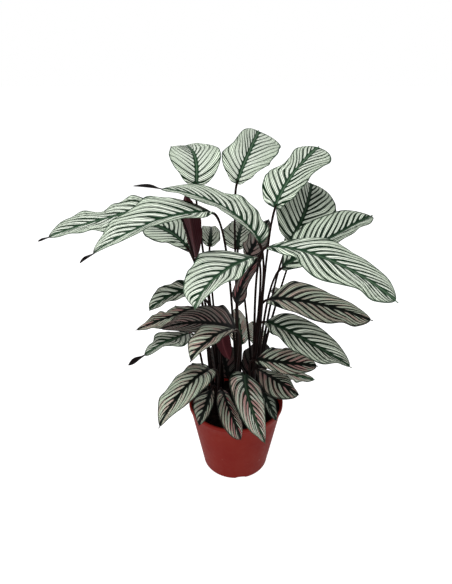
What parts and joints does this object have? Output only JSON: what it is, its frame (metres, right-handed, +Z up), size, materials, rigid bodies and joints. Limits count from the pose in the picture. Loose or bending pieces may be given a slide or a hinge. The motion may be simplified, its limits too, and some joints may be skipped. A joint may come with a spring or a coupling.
{
  "type": "potted prayer plant",
  "caption": "Bushy houseplant with long striped leaves on thin upright stalks, growing from a round tapered nursery pot.",
  "frame": {"origin": "middle of the flat underside of the pot's floor, on the ground plane", "axes": "+Z up, -Y towards the viewer in the picture (the front), +X to the viewer's right"},
  "size_m": [0.4725, 0.4505, 0.5947],
  "materials": {
    "pot_plastic": "satin",
    "potting_mix": "matte",
    "stalk": "satin",
    "blade": "satin"
  },
  "bodies": {
    "root": {"pot": "pot_plastic", "soil": "potting_mix", "shoot_a": "stalk", "shoot_b": "stalk", "shoot_c": "stalk", "shoot_d": "stalk", "shoot_e": "stalk", "shoot_g": "stalk", "leaf_01": "blade", "leaf_02": "blade", "leaf_03": "blade", "leaf_04": "blade", "leaf_05": "blade", "leaf_06": "blade", "leaf_07": "blade", "leaf_08": "blade", "leaf_09": "blade", "leaf_10": "blade", "leaf_11": "blade", "leaf_13": "blade", "leaf_14": "blade", "leaf_15": "blade", "leaf_16": "blade", "leaf_17": "blade", "leaf_18": "blade", "leaf_19": "blade", "leaf_20": "blade", "leaf_21": "blade", "leaf_22": "blade", "leaf_23": "blade", "leaf_24": "blade", "leaf_25": "blade", "leaf_26": "blade", "leaf_27": "blade", "leaf_28": "blade", "leaf_29": "blade", "leaf_30": "blade", "leaf_31": "blade", "leaf_32": "blade", "leaf_33": "blade", "leaf_34": "blade", "leaf_36": "blade", "leaf_37": "blade", "leaf_38": "blade", "leaf_40": "blade", "leaf_41": "blade", "leaf_42": "blade", "leaf_43": "blade", "leaf_44": "blade", "leaf_45": "blade", "leaf_46": "blade", "leaf_47": "blade"}
  },
  "joints": []
}
